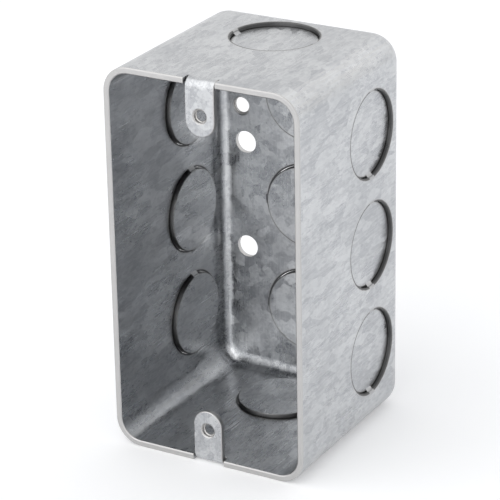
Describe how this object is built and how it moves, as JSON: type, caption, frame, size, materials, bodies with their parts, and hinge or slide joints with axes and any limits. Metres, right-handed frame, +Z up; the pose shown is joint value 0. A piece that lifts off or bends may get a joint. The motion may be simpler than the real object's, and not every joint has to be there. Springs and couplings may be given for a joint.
{
  "type": "handy box",
  "caption": "Deep-drawn steel handy box with rounded corners, an open front with two tapped ears, knockouts in every wall, and mounting and ground holes in its back.",
  "frame": {"origin": "centre of the back, on its outer face, which is also the centre of the four mounting holes", "axes": "+Z up along the length, -Y out of the open front, +X to the right seen from the front"},
  "size_m": [0.054, 0.054, 0.1016],
  "materials": {
    "galvanised_steel": "galvanised, with bare sheared edges"
  },
  "bodies": {
    "root": {"box_body": "galvanised_steel"}
  },
  "joints": []
}
